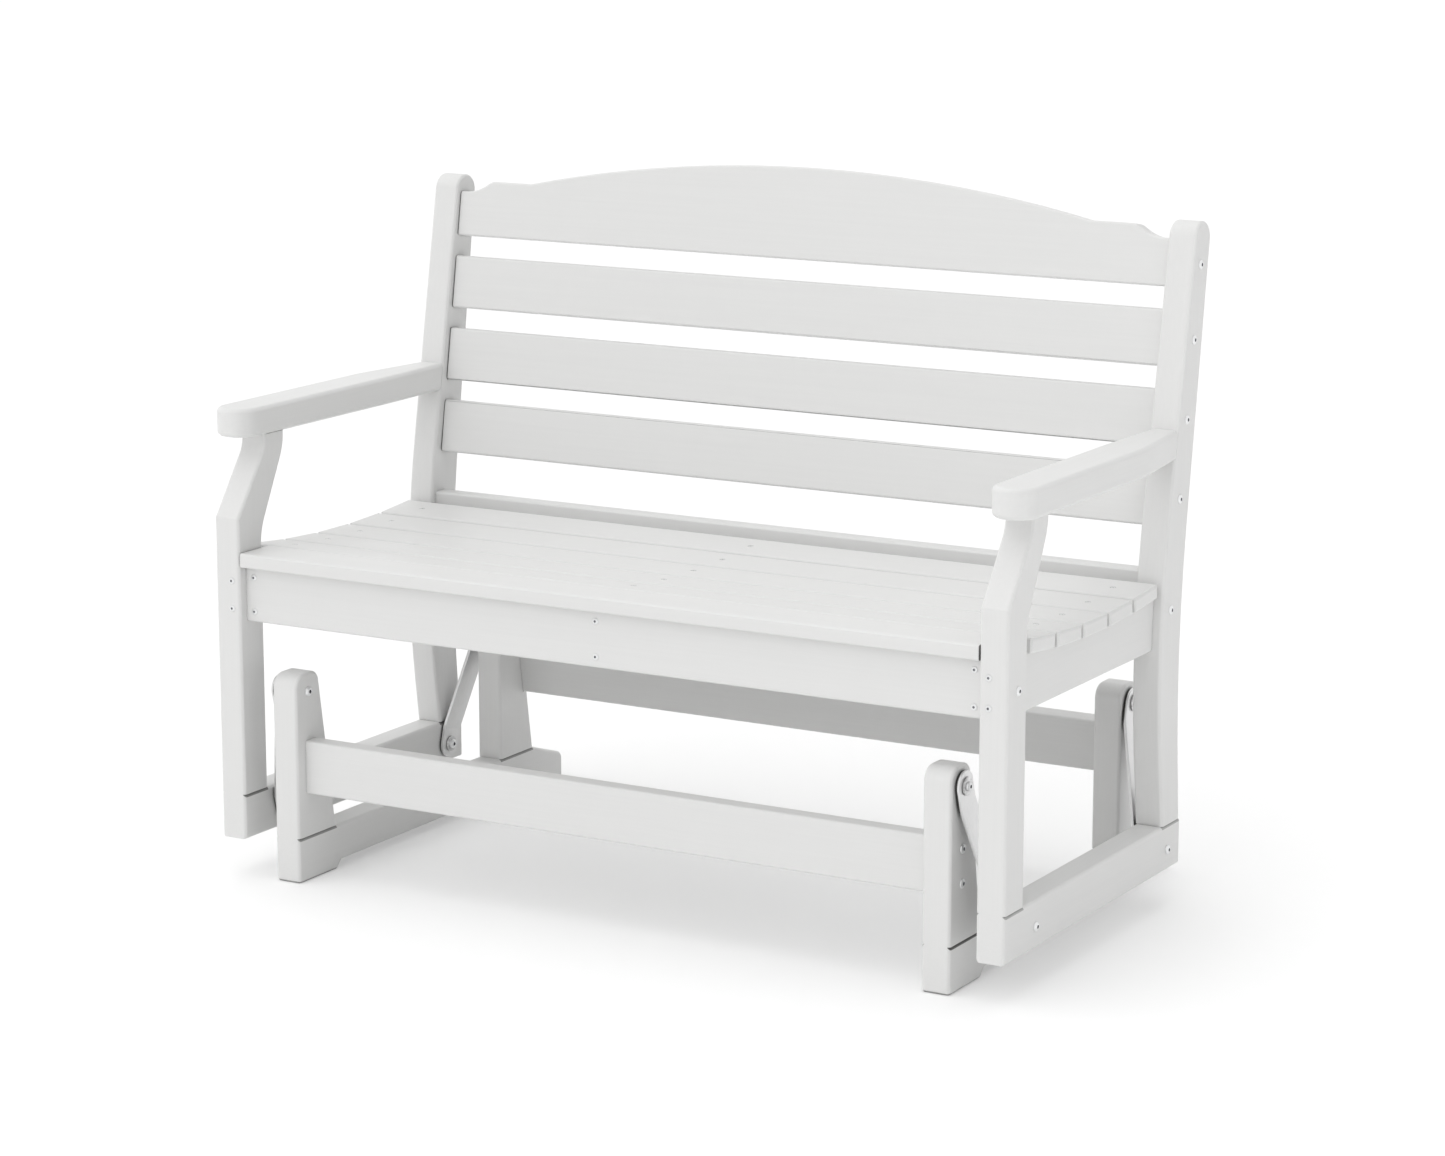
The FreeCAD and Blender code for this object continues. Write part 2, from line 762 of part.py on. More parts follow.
def bench_screws():
    out = vector(1, 0, 0)
    back = vector(0, 1, 0)
    up = vector(0, 0, 1)
    supports = ["left_seat_support", "centre_seat_support", "right_seat_support"]

    slats = ["seat_slat_" + str(index + 2) for index in range(slat_count)]
    spots = []
    for x in (-support_spacing, 0, support_spacing):
        for depth, height, tilt in slat_middles():
            lean = vector(0, math.sin(tilt), -math.cos(tilt))
            spots.append((vector(x, depth, height), lean))
    screw_group("seat_slat_screws", spots, thin_board + screw_grip, slats + supports, flush=True)

    spots = []
    for x in (-support_spacing, 0, support_spacing):
        for height in (apron_top - screw_margin, apron_bottom + screw_margin):
            spots.append((vector(x, apron_setback, height), back))
    screw_group("front_apron_screws", spots, cross_board + screw_grip, supports + ["front_apron"])

    apron_middle = apron_top - apron_height / 2
    spread = apron_height / 4
    spots = [(vector(skirt_middle, 0, apron_middle + offset), back) for offset in (spread, -spread)]
    names = ends_of("front_leg") + ends_of("seat_skirt")
    screw_group("leg_screws", two_sided(spots), leg_depth + screw_grip, names)

    spots = [(vector(end_out, apron_setback + cross_board / 2, apron_middle), out * -1)]
    names = ends_of("front_leg") + ["front_apron"]
    screw_group("leg_bolts", two_sided(spots), board + bolt_grip, names, large=True)

    spots = []
    names = ends_of("rear_post") + ["rear_apron", "top_back_slat"]
    for index in range(back_slat_count + 1):
        low = index * back_slat_pitch
        tall = top_end_height if index == back_slat_count else back_slat_height
        along = low + tall / 2
        depth = back_foot + along * math.sin(back_angle) + cross_board / 2 * math.cos(back_angle)
        height = back_foot_height + along * math.cos(back_angle) - cross_board / 2 * math.sin(back_angle)
        spots.append((vector(end_out, depth, height), out * -1))
        if index < back_slat_count:
            names.append("back_slat_" + str(index + 1))
    apron_middle = (rear_apron_top + apron_bottom) / 2
    spots.append((vector(end_out, rear_apron_setback + cross_board / 2, apron_middle), out * -1))
    screw_group("post_screws", two_sided(spots), board + bolt_grip, names, large=True)

    post_back, slope = post_edge(1, arm_middle)
    post_depth = post_back - post_edge(0, arm_middle)[0]
    lean = vector(0, -1, slope).normalize()
    spots = []
    for offset in (-arm_screw_spread, arm_screw_spread):
        spots.append((vector(end_in + board / 2 + offset, post_back, arm_middle), lean))
    names = ends_of("rear_post") + ends_of("arm")
    screw_group("arm_screws", two_sided(spots), post_depth + screw_grip, names)

    middle = end_in + board / 2
    seat = bench_clearance + counterbore_depth
    foot_depth = (rear_lower_pivot + post_foot[1]) / 2
    spots = [(vector(middle, depth, seat), up) for depth in (screw_margin, leg_depth - screw_margin)]
    spots += [(vector(middle + offset, foot_depth, seat), up) for offset in (-board / 4, board / 4)]
    names = ends_of("bottom_rail") + ends_of("front_leg") + ends_of("rear_post")
    length = bottom_rail_height - counterbore_depth + screw_grip
    screw_group("bottom_rail_screws", two_sided(spots), length, names)
    for place, direction in two_sided(spots):
        mouth = vector(place.x, place.y, bench_clearance)
        drill(ends_of("bottom_rail"), counterbore(mouth, up))


def dowel_group(node, places, length, names):
    """Hidden pegs, half in each of the two pieces that they hold together."""
    up = vector(0, 0, 1)
    pegs = []
    for place in places:
        start = place - up * (length / 2)
        pegs.append(bar(start, up, dowel_radius, length, screw_sides))
        drill(names, bar(start, up, dowel_radius + screw_fit, length, screw_sides))
    pieces[node] = Part.makeCompound(pegs)


def bench_dowels():
    middle = end_in + board / 2
    leg_middle = leg_top_setback + leg_top_depth / 2
    places = [vector(side * middle, leg_middle, arm_underside) for side in (-1, 1)]
    dowel_group("arm_dowels", places, arm_dowel_length, ends_of("arm") + ends_of("front_leg"))
    places = []
    for part in (-0.75, -0.25, 0.25, 0.75):
        places.append(vector(part * support_spacing, apron_setback + cross_board / 2, apron_top))
    dowel_group("front_slat_dowels", places, slat_dowel_length, ["seat_slat_1", "front_apron"])


def base_screws():
    out = vector(1, 0, 0)
    up = vector(0, 0, 1)
    uprights = []
    for row in ("front", "rear"):
        uprights += ["base_" + row + "_right_upright", "base_" + row + "_left_upright"]

    depth = base_setback + front_stretcher_setback + cross_board / 2
    bottom = base_rail_top + front_stretcher_lift
    spots = []
    for height in (bottom + screw_margin, bottom + stretcher_height - screw_margin):
        spots.append((vector(base_out, depth, height), out * -1))
    names = uprights + ["base_front_stretcher"]
    screw_group("front_stretcher_bolts", two_sided(spots), board + bolt_grip, names, large=True)

    foot, up_it, out_of_it = upright_back(rear_stretcher_lift)
    middle = base_in + board / 2
    seat = vector(middle, 0, 0) + foot + out_of_it * (cross_board - rear_stretcher_notch)
    spots = []
    for along in (screw_margin, stretcher_height - screw_margin):
        spots.append((seat + up_it * along, out_of_it * -1))
    names = uprights + ["base_rear_stretcher"]
    screw_group("rear_stretcher_screws", two_sided(spots), cross_board + screw_grip, names)

    spots = []
    for front in (base_setback, rear_upright):
        for depth in (front + screw_margin, front + upright_depth - 2 * screw_margin):
            spots.append((vector(middle, depth, counterbore_depth), up))
    names = uprights + ends_of("base_rail")
    length = base_rail_height - counterbore_depth + screw_grip
    screw_group("upright_screws", two_sided(spots), length, names)
    for place, direction in two_sided(spots):
        mouth = vector(place.x, place.y, 0)
        drill(ends_of("base_rail"), counterbore(mouth, up))


def cut_holes():
    """Cut each piece's holes in one go, leaving out those that miss it."""
    for name, tools in holes.items():
        near = [tool for tool in tools if tool.BoundBox.intersect(pieces[name].BoundBox)]
        if near:
            pieces[name] = pieces[name].cut(near)


def build():
    both_ends("bottom_rail", bottom_rail())
    both_ends("front_leg", front_leg())
    both_ends("rear_post", rear_post())
    both_ends("arm", seat_arm())
    both_ends("seat_skirt", side_skirt())
    both_ends("seat_support", seat_support(support_spacing))
    pieces["centre_seat_support"] = seat_support(0)
    pieces["front_apron"] = front_apron()
    pieces["rear_apron"] = rear_apron()
    pieces["seat_slat_1"] = front_slat()
    for index, (depth, height, tilt) in enumerate(slat_middles()):
        pieces["seat_slat_" + str(index + 2)] = seat_slat(depth, height, tilt)
    for index in range(back_slat_count):
        pieces["back_slat_" + str(index + 1)] = back_slat(index * back_slat_pitch)
    pieces["top_back_slat"] = top_back_slat(back_slat_count * back_slat_pitch)

    both_ends("base_rail", base_rail())
    upright(base_setback, ("base_front_right_upright", "base_front_left_upright"))
    upright(rear_upright, ("base_rear_right_upright", "base_rear_left_upright"))
    pieces["base_front_stretcher"] = front_stretcher()
    notch = rear_stretcher()
    drill(("base_rear_right_upright", "base_rear_left_upright"), notch)
    pieces["base_rear_stretcher"] = ease_lengthways(notch, slat_edge)

    front = ((front_upper_pivot, upper_pivot_height), (front_lower_pivot, lower_pivot_height))
    rear = ((rear_upper_pivot, upper_pivot_height), (rear_lower_pivot, lower_pivot_height))
    both_ends("front_glide_arm", glide_arm(front[0], front[1], tight_eye_radius, 0))
    both_ends("rear_glide_arm", glide_arm(rear[0], rear[1], loose_eye_radius, -loose_eye_shift))

    upper_pivots()
    lower_pivots()
    bench_screws()
    bench_dowels()
    base_screws()
    cut_holes()


build()
os.makedirs("parts", exist_ok=True)
for node, shape in pieces.items():
    shape.translate(vector(0, -footprint_middle, 0))
    shape.exportStep("parts/" + node + ".step")
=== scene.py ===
import math

import bmesh
import bpy
import numpy as np
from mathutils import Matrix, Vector


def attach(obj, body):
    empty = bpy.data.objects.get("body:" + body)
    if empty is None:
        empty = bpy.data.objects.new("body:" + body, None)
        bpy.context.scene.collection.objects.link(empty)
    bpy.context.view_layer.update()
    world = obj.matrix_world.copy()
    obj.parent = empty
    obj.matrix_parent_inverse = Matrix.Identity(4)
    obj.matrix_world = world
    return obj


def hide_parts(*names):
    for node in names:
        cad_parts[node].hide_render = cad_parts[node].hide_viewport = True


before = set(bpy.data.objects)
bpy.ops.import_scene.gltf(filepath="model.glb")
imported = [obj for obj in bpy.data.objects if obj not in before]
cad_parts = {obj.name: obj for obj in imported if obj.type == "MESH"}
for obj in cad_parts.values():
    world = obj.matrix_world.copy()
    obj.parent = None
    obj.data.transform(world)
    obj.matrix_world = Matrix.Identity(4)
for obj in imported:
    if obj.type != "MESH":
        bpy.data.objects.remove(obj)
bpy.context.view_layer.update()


# Base rails. Two long boards of white plastic lumber, sawn from extruded stock and routed along
# every edge. They lie on the floor on a foot at each end and carry the whole base.
def shader_group(name, inputs, outputs):
    """Empty shader group with named sockets."""
    tree = bpy.data.node_groups.new(name, "ShaderNodeTree")
    for label, kind in inputs:
        tree.interface.new_socket(label, in_out="INPUT", socket_type="NodeSocket" + kind)
    for label, kind in outputs:
        tree.interface.new_socket(label, in_out="OUTPUT", socket_type="NodeSocket" + kind)
    return tree, tree.nodes.new("NodeGroupInput"), tree.nodes.new("NodeGroupOutput")


def noise(tree, place, scale, detail, roughness):
    """Noise on a coordinate."""
    node = tree.nodes.new("ShaderNodeTexNoise")
    node.inputs["Scale"].default_value = scale
    node.inputs["Detail"].default_value = detail
    node.inputs["Roughness"].default_value = roughness
    tree.links.new(place, node.inputs["Vector"])
    return node.outputs["Fac"]


def spread(tree, value, given, wanted):
    """Stretch a value from a given range to a wanted one, held at the ends."""
    node = tree.nodes.new("ShaderNodeMapRange")
    limits = (("From Min", given[0]), ("From Max", given[1]), ("To Min", wanted[0]), ("To Max", wanted[1]))
    for socket, number in limits:
        node.inputs[socket].default_value = number
    tree.links.new(value, node.inputs["Value"])
    return node.outputs["Result"]


def blend_colours(tree, share, first, second):
    """Colour between two colours."""
    node = tree.nodes.new("ShaderNodeMix")
    node.data_type = "RGBA"
    # The node lists the sockets of its other kinds too, so those for colours are found by their place.
    share_socket, first_socket, second_socket = node.inputs[0], node.inputs[6], node.inputs[7]
    tree.links.new(share, share_socket)
    for socket, colour in ((first_socket, first), (second_socket, second)):
        if isinstance(colour, tuple):
            socket.default_value = colour
        else:
            tree.links.new(colour, socket)
    return node.outputs[2]


def relief(tree, height, strength, depth):
    """Surface direction bent by a height."""
    node = tree.nodes.new("ShaderNodeBump")
    node.inputs["Strength"].default_value = strength
    node.inputs["Distance"].default_value = depth
    tree.links.new(height, node.inputs["Height"])
    return node.outputs["Normal"]


def sum_of(tree, first, second, share):
    """First value plus a share of the second."""
    node = tree.nodes.new("ShaderNodeMath")
    node.operation = "MULTIPLY_ADD"
    node.inputs[1].default_value = share
    tree.links.new(second, node.inputs[0])
    tree.links.new(first, node.inputs[2])
    return node.outputs["Value"]


# Painted shade: the colour is darkened in narrow gaps, where occlusion rays meet nearby surfaces, and in
# marked seams, where the shadow of a joint falls.
dusty_gap = 0.008
gap_rays = 8
dusty_openness = (0.20, 0.56)
gap_dust = (0.15, 0.15, 0.145, 1.0)
seam_dust = (0.12, 0.12, 0.115, 1.0)


def painted_shade_group():
    """Shader group: painted shade that darkens the colour in narrow gaps, found by occlusion rays, and in
    the marked seams where boards are stacked.
    """
    tree, source, result = shader_group("Joint painted shade", (("Clean", "Color"),), (("Colour", "Color"),))
    gap = tree.nodes.new("ShaderNodeAmbientOcclusion")
    gap.samples = gap_rays
    gap.inputs["Distance"].default_value = dusty_gap
    share = spread(tree, gap.outputs["AO"], dusty_openness, (1.0, 0.0))
    dusty = blend_colours(tree, share, source.outputs["Clean"], gap_dust)
    seam_shade = tree.nodes.new("ShaderNodeAttribute")
    seam_shade.attribute_name = "seam_shade"
    colour = blend_colours(tree, seam_shade.outputs["Fac"], dusty, seam_dust)
    tree.links.new(colour, result.inputs["Colour"])
    return tree


joint_painted_shade = painted_shade_group()


def with_painted_shade(tree, clean):
    """Colour of a surface with painted shade in its gaps and joints."""
    node = tree.nodes.new("ShaderNodeGroup")
    node.node_tree = joint_painted_shade
    tree.links.new(clean, node.inputs["Clean"])
    return node.outputs["Colour"]


def board_group():
    """Shader group: streaks drawn along a board, cloudy gloss, the fine pebble of its skin, and painted
    shade in its gaps and seams.
    """
    tree, source, result = shader_group(
        "Drawn board",
        (("Along", "Vector"), ("Place", "Vector"), ("Light", "Color"), ("Shade", "Color")),
        (("Colour", "Color"), ("Roughness", "Float"), ("Normal", "Vector")))
    streak = noise(tree, source.outputs["Along"], scale=1.0, detail=5.0, roughness=0.62)
    cloud = noise(tree, source.outputs["Place"], scale=9.0, detail=3.0, roughness=0.5)
    pebble = noise(tree, source.outputs["Place"], scale=900.0, detail=2.0, roughness=0.5)
    share = spread(tree, streak, (0.3, 0.65), (0.0, 1.0))
    clean = blend_colours(tree, share, source.outputs["Shade"], source.outputs["Light"])
    height = sum_of(tree, streak, pebble, share=0.35)
    tree.links.new(with_painted_shade(tree, clean), result.inputs["Colour"])
    tree.links.new(spread(tree, cloud, (0.3, 0.7), (0.40, 0.54)), result.inputs["Roughness"])
    tree.links.new(relief(tree, height, strength=0.05, depth=0.0004), result.inputs["Normal"])
    return tree


drawn_board = board_group()


def grouped_finish(name, group, axis, across, along, colours):
    """Material whose colour, gloss and relief come from a shader group, stretched along an axis."""
    material = bpy.data.materials.new(name)
    material.use_nodes = True
    tree = material.node_tree
    shader = tree.nodes["Principled BSDF"]
    place = tree.nodes.new("ShaderNodeTexCoord")
    stretched = tree.nodes.new("ShaderNodeMapping")
    stretched.inputs["Scale"].default_value = [along if letter == axis else across for letter in "XYZ"]
    tree.links.new(place.outputs["Object"], stretched.inputs["Vector"])
    effect = tree.nodes.new("ShaderNodeGroup")
    effect.node_tree = group
    tree.links.new(stretched.outputs["Vector"], effect.inputs["Along"])
    tree.links.new(place.outputs["Object"], effect.inputs["Place"])
    for label, colour in colours.items():
        effect.inputs[label].default_value = (*colour, 1.0)
    tree.links.new(effect.outputs["Colour"], shader.inputs["Base Color"])
    tree.links.new(effect.outputs["Roughness"], shader.inputs["Roughness"])
    tree.links.new(effect.outputs["Normal"], shader.inputs["Normal"])
    return material


board_light = (0.74, 0.74, 0.733)
board_shade = (0.726, 0.726, 0.72)
board_ior = 1.48


def board_finish(name, axis, across=260.0, along=5.0):
    """White board, its streaks stretched along its length."""
    material = grouped_finish(
        name, drawn_board, axis, across, along, {"Light": board_light, "Shade": board_shade})
    material.node_tree.nodes["Principled BSDF"].inputs["IOR"].default_value = board_ior
    return material


def cut_faces(solid, place, direction):
    """Cut the faces of a solid along a plane, without parting it."""
    bmesh.ops.bisect_plane(
        solid, geom=solid.verts[:] + solid.edges[:] + solid.faces[:], plane_co=place, plane_no=direction)


def round_over(solid, edges, width, steps):
    """Round some edges of a solid."""
    bmesh.ops.bevel(
        solid, geom=edges, offset=width, offset_type="OFFSET", segments=steps, profile=0.5, affect="EDGES",
        clamp_overlap=False)


def is_end_rim(edge, reach):
    """Tell whether an edge bounds one of the two end faces of a board that lies across the bench."""
    return all(abs(corner.co.x) > reach for corner in edge.verts)


routed_depth = 0.004
routed_slant = 0.1
foot_slack = 1e-4


def mark_shaded_seams(solid, standing, dust):
    """Mark the routed top edges of a rail where another board stands on it, with their share of painted
    shade, the dark line of shadow under the joint.
    """
    seam_shade = solid.faces.layers.float.new("seam_shade")
    top = max(corner.co.z for corner in solid.verts)
    for node in standing:
        corners = [corner.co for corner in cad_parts[node].data.vertices]
        foot = min(corner.z for corner in corners)
        depths = [corner.y for corner in corners if corner.z < foot + foot_slack]
        front, back = min(depths), max(depths)
        for depth in (front, back):
            cut_faces(solid, (0, depth, 0), (0, 1, 0))
        for face in solid.faces:
            middle = face.calc_center_median()
            slanted = abs(face.normal.x) > routed_slant and face.normal.z > routed_slant
            if slanted and middle.z > top - routed_depth and front < middle.y < back:
                face[seam_shade] = dust


same_place = 1e-6
end_slack = 1e-5
flat_turn = math.radians(0.4)
crease_turn = math.radians(40)


def eased_copy(
        name, body, material, slot, angles, width, end_width=0.0, standing=(), dust=0.0, reshape=None):
    """Copy of a node of the part, its edges between two angles rounded, that stands in for it."""
    solid = bmesh.new()
    solid.from_mesh(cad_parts[name].data)
    bmesh.ops.remove_doubles(solid, verts=solid.verts, dist=same_place)
    bmesh.ops.dissolve_limit(solid, angle_limit=flat_turn, verts=solid.verts, edges=solid.edges)
    if reshape:
        reshape(solid)
    if end_width:
        reach = max(corner.co.x for corner in solid.verts) - end_slack
        round_over(solid, [edge for edge in solid.edges if is_end_rim(edge, reach)], end_width, steps=3)
    lowest, highest = (math.radians(angle) for angle in angles)
    worked = [edge for edge in solid.edges if lowest < edge.calc_face_angle(0.0) < highest]
    round_over(solid, worked, width, steps=2)
    if standing:
        mark_shaded_seams(solid, standing, dust)
    for face in solid.faces:
        face.smooth = True
    for edge in solid.edges:
        edge.smooth = edge.calc_face_angle(0.0) < crease_turn
    mesh = bpy.data.meshes.new(name + "_eased")
    solid.to_mesh(mesh)
    solid.free()
    mesh.materials.append(material)
    piece = bpy.data.objects.new(name + "_eased", mesh)
    bpy.context.scene.collection.objects.link(piece)
    shading = piece.modifiers.new("Even shading", "WEIGHTED_NORMAL")
    shading.keep_sharp = True
    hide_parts(name)
    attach(piece, body)


routed_angles = (20, 62)


def dress_boards(names, body, material, width, **more):
    """Boards whose routed edges are rounded over, in place of the plain bevelled ones."""
    for name in names:
        eased_copy(name, body, material, "white_boards", routed_angles, width, **more)


frame_board_round = 0.0012
base_rail_finish = board_finish("base_rail_boards", "Y")
# Only the depths of the standing boards count, and they are the same on the left as on the right.
# The shares set how dark the painted shade of each joint is, one for each side.
for name, dust in (("left_base_rail", 0.70), ("right_base_rail", 1.0)):
    dress_boards(
        [name], "base", base_rail_finish, frame_board_round,
        standing=("base_front_right_upright", "base_rear_right_upright"), dust=dust)


# Uprights. Four short tapered posts of the same board, stood on end on the base rails and screwed
# from below. The glide arms hang from their heads.
upright_finish = board_finish("upright_boards", "Z")
uprights = [
    "base_front_left_upright", "base_front_right_upright",
    "base_rear_left_upright", "base_rear_right_upright"]
dress_boards(uprights, "base", upright_finish, frame_board_round)


# Stretchers. Two boards across the base that hold its two ends apart: the front one is bolted between
# the uprights, the rear one is let into their backs.
cross_board_round = 0.0009
stretcher_finish = board_finish("stretcher_boards", "X")
dress_boards(["base_front_stretcher", "base_rear_stretcher"], "base", stretcher_finish, cross_board_round)


# Glide arms. Four flat steel bars with round eyes, cut from strip, joggled in a press and left with a
# satin drawn finish along their length.
def steel_group():
    """Shader group: bare steel with drawn streaks, a sheen that follows them, and painted shade in its gaps
    and seams.
    """
    tree, source, result = shader_group(
        "Drawn steel",
        (("Along", "Vector"), ("Place", "Vector"), ("Bright", "Color"), ("Dull", "Color")),
        (("Colour", "Color"), ("Roughness", "Float"), ("Normal", "Vector")))
    streak = noise(tree, source.outputs["Along"], scale=1.0, detail=4.0, roughness=0.6)
    cloud = noise(tree, source.outputs["Place"], scale=60.0, detail=3.0, roughness=0.5)
    mixed = sum_of(tree, streak, cloud, share=0.5)
    share = spread(tree, mixed, (0.5, 1.0), (0.0, 1.0))
    clean = blend_colours(tree, share, source.outputs["Dull"], source.outputs["Bright"])
    tree.links.new(with_painted_shade(tree, clean), result.inputs["Colour"])
    tree.links.new(spread(tree, mixed, (0.5, 1.0), (0.36, 0.28)), result.inputs["Roughness"])
    tree.links.new(relief(tree, streak, strength=0.03, depth=0.0001), result.inputs["Normal"])
    return tree


drawn_steel = steel_group()


def steel_finish(name, across, along, bright, dull, metallic):
    """Bare steel, its grain as fine as asked across the piece and along its height."""
    material = grouped_finish(name, drawn_steel, "Z", across, along, {"Bright": bright, "Dull": dull})
    material.node_tree.nodes["Principled BSDF"].inputs["Metallic"].default_value = metallic
    return material


dusty_strip = 0.0013
bar_angles = (60, 100)
bar_round = 0.0006
arm_steel = steel_finish(
    "drawn_steel", across=500.0, along=8.0,
    bright=(0.77, 0.77, 0.77), dull=(0.73, 0.73, 0.73), metallic=0.75)


def mark_inner_rim(solid):
    """Mark the strip of an arm's upper eye that lies next to its upright, for painted shade of the narrow
    gap there.
    """
    seam_shade = solid.faces.layers.float.new("seam_shade")
    nearest = min((corner.co.x for corner in solid.verts), key=abs)
    limit = nearest + math.copysign(dusty_strip, nearest)
    cut_faces(solid, (limit, 0, 0), (1, 0, 0))
    for face in solid.faces:
        if abs(face.calc_center_median().x) < abs(limit):
            face[seam_shade] = 1.0


glide_arms = [
    "left_front_glide_arm", "right_front_glide_arm", "left_rear_glide_arm", "right_rear_glide_arm"]
for name in glide_arms:
    body = "front_arms" if "front" in name else "rear_arms"
    eased_copy(name, body, arm_steel, "glide_steel", bar_angles, bar_round, reshape=mark_inner_rim)


# Bottom rails. Two boards that run front to back under the bench and join leg and post. The lower eyes
# of the glide arms are bolted to them.
rail_finish = board_finish("bottom_rail_boards", "Y")
# The shares set how dark the painted shade under each leg and post is, one for each side.
for name, dust in (("left_bottom_rail", 0.78), ("right_bottom_rail", 0.52)):
    dress_boards(
        [name], "bench", rail_finish, frame_board_round, standing=("right_front_leg", "right_rear_post"),
        dust=dust)


# Front legs. Two boards sawn to a double bend on a bandsaw, then routed. They stand on the bottom rails
# and carry the arms on hidden pegs.
leg_finish = board_finish("leg_boards", "Z")
dress_boards(["left_front_leg", "right_front_leg"], "bench", leg_finish, frame_board_round)


# Rear posts. Two bent boards with rounded heads, sawn like the legs. They lean back to hold the four
# slats of the back.
post_finish = board_finish("post_boards", "Z")
dress_boards(["left_rear_post", "right_rear_post"], "bench", post_finish, frame_board_round)


# Arms. Two wide boards with a rounded front and a tapered tail, routed all round. Each lies on its leg
# and is screwed from behind its post.
arm_round = 0.0018
arm_finish = board_finish("arm_boards", "Y", across=220.0, along=4.0)
dress_boards(["left_arm", "right_arm"], "bench", arm_finish, arm_round)


# Seat frame. Boards of the same plastic set on edge: the aprons run across, the skirts and supports from
# front to back. The top edges of the supports are sawn to the dish of the seat.
apron_finish = board_finish("apron_boards", "X")
dress_boards(["front_apron", "rear_apron"], "bench", apron_finish, cross_board_round)
skirt_finish = board_finish("skirt_boards", "Y")
dress_boards(["left_seat_skirt", "right_seat_skirt"], "bench", skirt_finish, cross_board_round)
dress_boards(
    ["left_seat_support", "centre_seat_support", "right_seat_support"], "bench", skirt_finish,
    cross_board_round)


# Seat slats. Six thin boards screwed down over the supports; the front one fits between the legs and
# is pegged from below.
slat_round = 0.0008
slat_end_round = 0.0022
slat_finish = board_finish("seat_slat_boards", "X", across=200.0, along=4.0)
whole_slats = ["seat_slat_%d" % number for number in range(2, 7)]
dress_boards(whole_slats, "bench", slat_finish, slat_round, end_width=slat_end_round)
dress_boards(["seat_slat_1"], "bench", slat_finish, slat_round)


# Back slats. Three straight boards and an arched one across the top, screwed to the posts from their
# ends, with their faces leaning back.
back_end_round = 0.0018
back_finish = board_finish("back_slat_boards", "X", across=200.0, along=4.0)
straight_slats = ["back_slat_1", "back_slat_2", "back_slat_3"]
dress_boards(straight_slats, "bench", back_finish, slat_round, end_width=back_end_round)
step_foot = 0.506
step_rise = 0.0155
step_run = 0.022
step_slope = step_rise / step_run
sweep_reach = 0.017
part_reach = 0.0052
rim_depth = 0.004
cuts_each_way = 4


def hollow_fill(distance, reach):
    """Height that a sweep of some reach adds over the hollow corner of a step."""
    return step_slope * max(0.0, reach - abs(distance)) ** 2 / (4 * reach)


def sweep_steps(solid):
    """Widen the hollow at the foot of each step of the arched slat, as a large router bit leaves it."""
    broadest = max(solid.faces, key=lambda face: face.calc_area())
    up = Vector((1.0, 0.0, 0.0)).cross(broadest.normal)
    if up.z < 0.0:
        up.negate()
    for cut in range(-cuts_each_way, cuts_each_way + 1):
        for side in (-1.0, 1.0):
            cut_faces(solid, (side * (step_foot + sweep_reach * cut / cuts_each_way), 0, 0), (1, 0, 0))
    ledge = max(corner.co.dot(up) for corner in solid.verts if abs(corner.co.x) > step_foot + sweep_reach)
    for corner in solid.verts:
        distance = abs(corner.co.x) - step_foot
        top = ledge + step_slope * max(0.0, -distance)
        if corner.co.dot(up) > top - rim_depth:
            corner.co += up * (hollow_fill(distance, sweep_reach) - hollow_fill(distance, part_reach))


dress_boards(
    ["top_back_slat"], "bench", back_finish, slat_round, end_width=back_end_round, reshape=sweep_steps)


# Screws and bolts. Stainless, with a low domed head and a small drive socket, turned and then tumbled
# bright. The heads stand on the boards and the shanks run inside them.
def solids_of(node):
    """Corner points of each separate solid in a node of the part."""
    joined = bmesh.new()
    joined.from_mesh(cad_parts[node].data)
    bmesh.ops.remove_doubles(joined, verts=joined.verts, dist=same_place)
    joined.verts.ensure_lookup_table()
    waiting = set(range(len(joined.verts)))
    solids = []
    while waiting:
        reached = [waiting.pop()]
        found = []
        while reached:
            corner = joined.verts[reached.pop()]
            found.append(tuple(corner.co))
            for link in corner.link_edges:
                other = link.other_vert(corner).index
                if other in waiting:
                    waiting.discard(other)
                    reached.append(other)
        solids.append(np.array(found))
    joined.free()
    return solids


def headed_sizes(points, axis=None):
    """Seat, outward direction and sizes of one headed piece, read from its corner points."""
    middle = points.mean(axis=0)
    if axis is None:
        axis = np.linalg.svd(points - middle)[2][0]
    along = (points - middle) @ axis
    radial = np.linalg.norm(points - middle - np.outer(along, axis), axis=1)
    wide = radial > (radial.min() + radial.max()) / 2
    if along[wide].mean() < 0:
        axis = -axis
        along = -along
    seat = along[wide].min()
    return {
        "seat": middle + axis * seat, "outward": axis,
        "Head radius": float(radial.max()), "Head height": float(along.max() - seat),
        "Shank radius": float(radial.min()), "Shank length": float(seat - along.min())}


def set_links(tree, *pairs):
    """Join pairs of sockets in a node tree."""
    for source, target in pairs:
        tree.links.new(source, target)


shallow_turn = math.radians(42)


def smooth_by_angle(tree, mesh):
    """Add nodes that shade a mesh smooth across its shallow edges."""
    angle = tree.nodes.new("GeometryNodeInputMeshEdgeAngle")
    shallow = tree.nodes.new("FunctionNodeCompare")
    shallow.operation = "LESS_THAN"
    shallow.inputs["B"].default_value = shallow_turn
    faces = tree.nodes.new("GeometryNodeSetShadeSmooth")
    edges = tree.nodes.new("GeometryNodeSetShadeSmooth")
    edges.domain = "EDGE"
    set_links(
        tree, (angle.outputs["Unsigned Angle"], shallow.inputs["A"]), (mesh, faces.inputs["Geometry"]),
        (faces.outputs["Geometry"], edges.inputs["Geometry"]),
        (shallow.outputs["Result"], edges.inputs["Shade Smooth"]))
    return edges.outputs["Geometry"]


